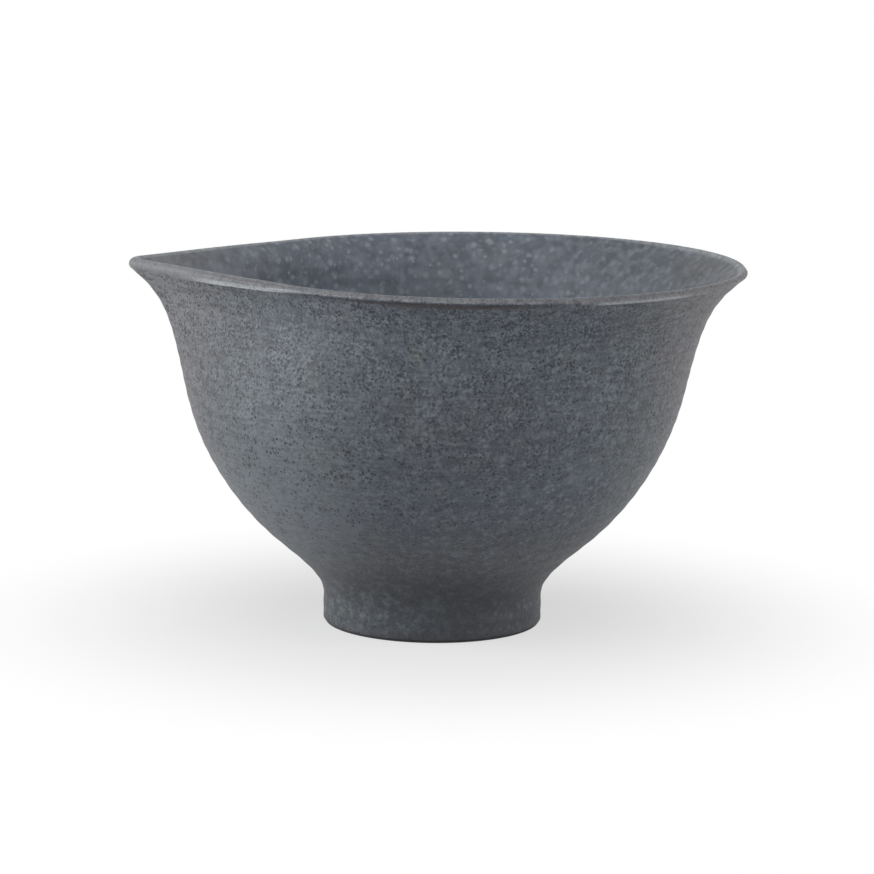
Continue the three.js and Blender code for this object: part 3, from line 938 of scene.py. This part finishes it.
def finished(context, name, maker):
    """The material of that name, made once."""
    return bpy.data.materials.get(name) or maker(context.scene.bowl_glaze)


def make_piece(context, name, outline_at, finish, node):
    """Turns a piece and fixes it to the frame in place of the CAD node."""
    piece = revolved(name, outline_at, context.scene.bowl_shape, finish)
    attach(piece, "root")
    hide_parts(node)


class TEABOWL_OT_body(bpy.types.Operator):
    """Make the clay body of the bowl"""

    bl_idname = "tea_bowl.body"
    bl_label = "Clay Body"

    def execute(self, context):
        clay = finished(context, "bare_stoneware", clay_finish)
        make_piece(context, "clay_body", body_outline, clay, "bowl_body")
        return {"FINISHED"}


class TEABOWL_OT_foot(bpy.types.Operator):
    """Make the foot ring"""

    bl_idname = "tea_bowl.foot"
    bl_label = "Foot Ring"

    def execute(self, context):
        clay = finished(context, "bare_stoneware", clay_finish)
        make_piece(context, "clay_foot_ring", foot_outline, clay, "foot_ring")
        return {"FINISHED"}


class TEABOWL_OT_outside_coat(bpy.types.Operator):
    """Make the coat of glaze on the outside"""

    bl_idname = "tea_bowl.outside_coat"
    bl_label = "Outside Glaze"

    def execute(self, context):
        glaze = finished(context, "slate_glaze", outside_glaze_finish)
        outline = outside_coat_outline
        make_piece(context, "outside_glaze_coat", outline, glaze, "outside_glaze")
        return {"FINISHED"}


class TEABOWL_OT_inside_coats(bpy.types.Operator):
    """Make the coat of glaze on the inside and the patch under the foot"""

    bl_idname = "tea_bowl.inside_coats"
    bl_label = "Inside Glaze"

    def execute(self, context):
        glaze = finished(context, "blue_grey_glaze", inside_glaze_finish)
        make_piece(context, "inside_glaze_coat", inside_coat_outline, glaze, "inside_glaze")
        make_piece(context, "foot_well_glaze_coat", well_coat_outline, glaze, "foot_well_glaze")
        return {"FINISHED"}


# Lamps round the bowl, each with its place, its size and its watts, and the middle that they face
SOFTBOXES = {
    "left_softbox": ((-0.95, -0.1, 0.3), 0.8, 6.8),
    "right_softbox": ((0.95, -0.1, 0.35), 0.8, 3.5),
    "top_softbox": ((0, -0.8, 0.8), 1.0, 4.6),
}
BOWL_MIDDLE = (0, 0, 0.04)
WORLD_LIGHT = 0.06

# The floor, which turns from paper to plain white to the camera's eye away from the foot
FLOOR_WIDTH = 8
WHITENS = (0.025, 0.11)
WHITE_SHARES = (0.6, 1.0)
WHITE = (1, 1, 1, 1)


def softbox(name, place, size, watts):
    """A square lamp that faces the bowl."""
    lamp = bpy.data.lights.new(name, "AREA")
    lamp.shape = "SQUARE"
    lamp.size = size
    lamp.energy = watts
    stand = bpy.data.objects.new(name, lamp)
    stand.location = place
    stand.rotation_euler = (Vector(BOWL_MIDDLE) - Vector(place)).to_track_quat("-Z", "Y").to_euler()
    bpy.context.collection.objects.link(stand)


def white_to_camera(tree, seen, lit):
    """Mixes two shaders: one that camera, mirrors and glass see, and one that lights the bowl."""
    path = tree.add("ShaderNodeLightPath").outputs
    straight = tree.larger(path["Is Camera Ray"], path["Is Glossy Ray"])
    direct = tree.larger(straight, path["Is Transmission Ray"])
    return tree.add("ShaderNodeMixShader", {0: direct, 1: lit, 2: seen}).outputs[0]


class TEABOWL_OT_stage(bpy.types.Operator):
    """Make the floor, the lamps, the white surroundings and the camera"""

    bl_idname = "tea_bowl.stage"
    bl_label = "Stage"

    def execute(self, context):
        stage = context.scene.bowl_stage
        self.make_floor(context, stage)
        self.make_world(context)
        for name, values in SOFTBOXES.items():
            softbox(name, *values)
        self.make_camera(context, stage)
        return {"FINISHED"}

    def make_floor(self, context, stage):
        bpy.ops.mesh.primitive_plane_add(size=FLOOR_WIDTH)
        floor = context.object
        floor.name = "floor"
        material = bpy.data.materials.new("pale_floor")
        material.use_nodes = True
        tree = Tree(material.node_tree.nodes, material.node_tree.links)
        paper = tree.add("ShaderNodeBsdfDiffuse", {"Color": (*stage.floor, 1)}).outputs[0]
        white = tree.add("ShaderNodeEmission", {"Color": WHITE, "Strength": 1.0}).outputs[0]
        away = tree.distance(tree.add("ShaderNodeTexCoord").outputs["Object"])
        fade = tree.map(away, *WHITENS, *WHITE_SHARES, smooth=True)
        bright = tree.add("ShaderNodeMixShader", {0: fade, 1: paper, 2: white}).outputs[0]
        surface = white_to_camera(tree, bright, paper)
        tree.links.new(surface, material.node_tree.nodes["Material Output"].inputs["Surface"])
        floor.data.materials.append(material)

    def make_world(self, context):
        world = context.scene.world or bpy.data.worlds.new("World")
        context.scene.world = world
        world.use_nodes = True
        world.node_tree.nodes.clear()
        tree = Tree(world.node_tree.nodes, world.node_tree.links)
        seen = tree.add("ShaderNodeBackground", {"Color": WHITE, "Strength": 1.0}).outputs[0]
        lit = tree.add("ShaderNodeBackground", {"Color": WHITE, "Strength": WORLD_LIGHT}).outputs[0]
        tree.add("ShaderNodeOutputWorld", {"Surface": white_to_camera(tree, seen, lit)})

    def make_camera(self, context, stage):
        camera = bpy.data.objects.new("camera", bpy.data.cameras.new("camera"))
        camera.data.lens = stage.lens
        aim = Matrix.Rotation(-stage.yaw, 4, "Z") @ Matrix.Rotation(math.pi / 2 - stage.pitch, 4, "X")
        camera.matrix_world = (
            Matrix.Translation((0, -stage.distance, stage.camera_height))
            @ aim
            @ Matrix.Rotation(stage.roll, 4, "Z")
        )
        context.collection.objects.link(camera)
        context.scene.camera = camera


class TEABOWL_PT_sidebar(bpy.types.Panel):
    """Sizes, colours and makers of the tea bowl"""

    bl_idname = "TEABOWL_PT_sidebar"
    bl_label = "Tea Bowl"
    bl_space_type = "VIEW_3D"
    bl_region_type = "UI"
    bl_category = "Tea Bowl"

    def draw(self, context):
        for group in (context.scene.bowl_shape, context.scene.bowl_glaze, context.scene.bowl_stage):
            box = self.layout.box()
            for name in group.__annotations__:
                box.prop(group, name)
        for maker in MAKERS:
            self.layout.operator(maker.bl_idname)


GROUPS = {"bowl_shape": BowlShape, "bowl_glaze": BowlGlaze, "bowl_stage": BowlStage}
MAKERS = (
    TEABOWL_OT_body,
    TEABOWL_OT_foot,
    TEABOWL_OT_outside_coat,
    TEABOWL_OT_inside_coats,
    TEABOWL_OT_stage,
)


def register():
    """Adds the properties, operators and panel."""
    for name, group in GROUPS.items():
        bpy.utils.register_class(group)
        setattr(bpy.types.Scene, name, PointerProperty(type=group))
    for maker in MAKERS:
        bpy.utils.register_class(maker)
    bpy.utils.register_class(TEABOWL_PT_sidebar)


def unregister():
    """Removes the properties, operators and panel."""
    bpy.utils.unregister_class(TEABOWL_PT_sidebar)
    for maker in reversed(MAKERS):
        bpy.utils.unregister_class(maker)
    for name, group in GROUPS.items():
        delattr(bpy.types.Scene, name)
        bpy.utils.unregister_class(group)


def main():
    """Makes the whole bowl and its stage."""
    register()
    bpy.context.scene.view_settings.view_transform = "Standard"
    bpy.ops.tea_bowl.body()
    bpy.ops.tea_bowl.foot()
    bpy.ops.tea_bowl.outside_coat()
    bpy.ops.tea_bowl.inside_coats()
    bpy.ops.tea_bowl.stage()
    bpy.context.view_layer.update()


if __name__ == "__main__":
    main()
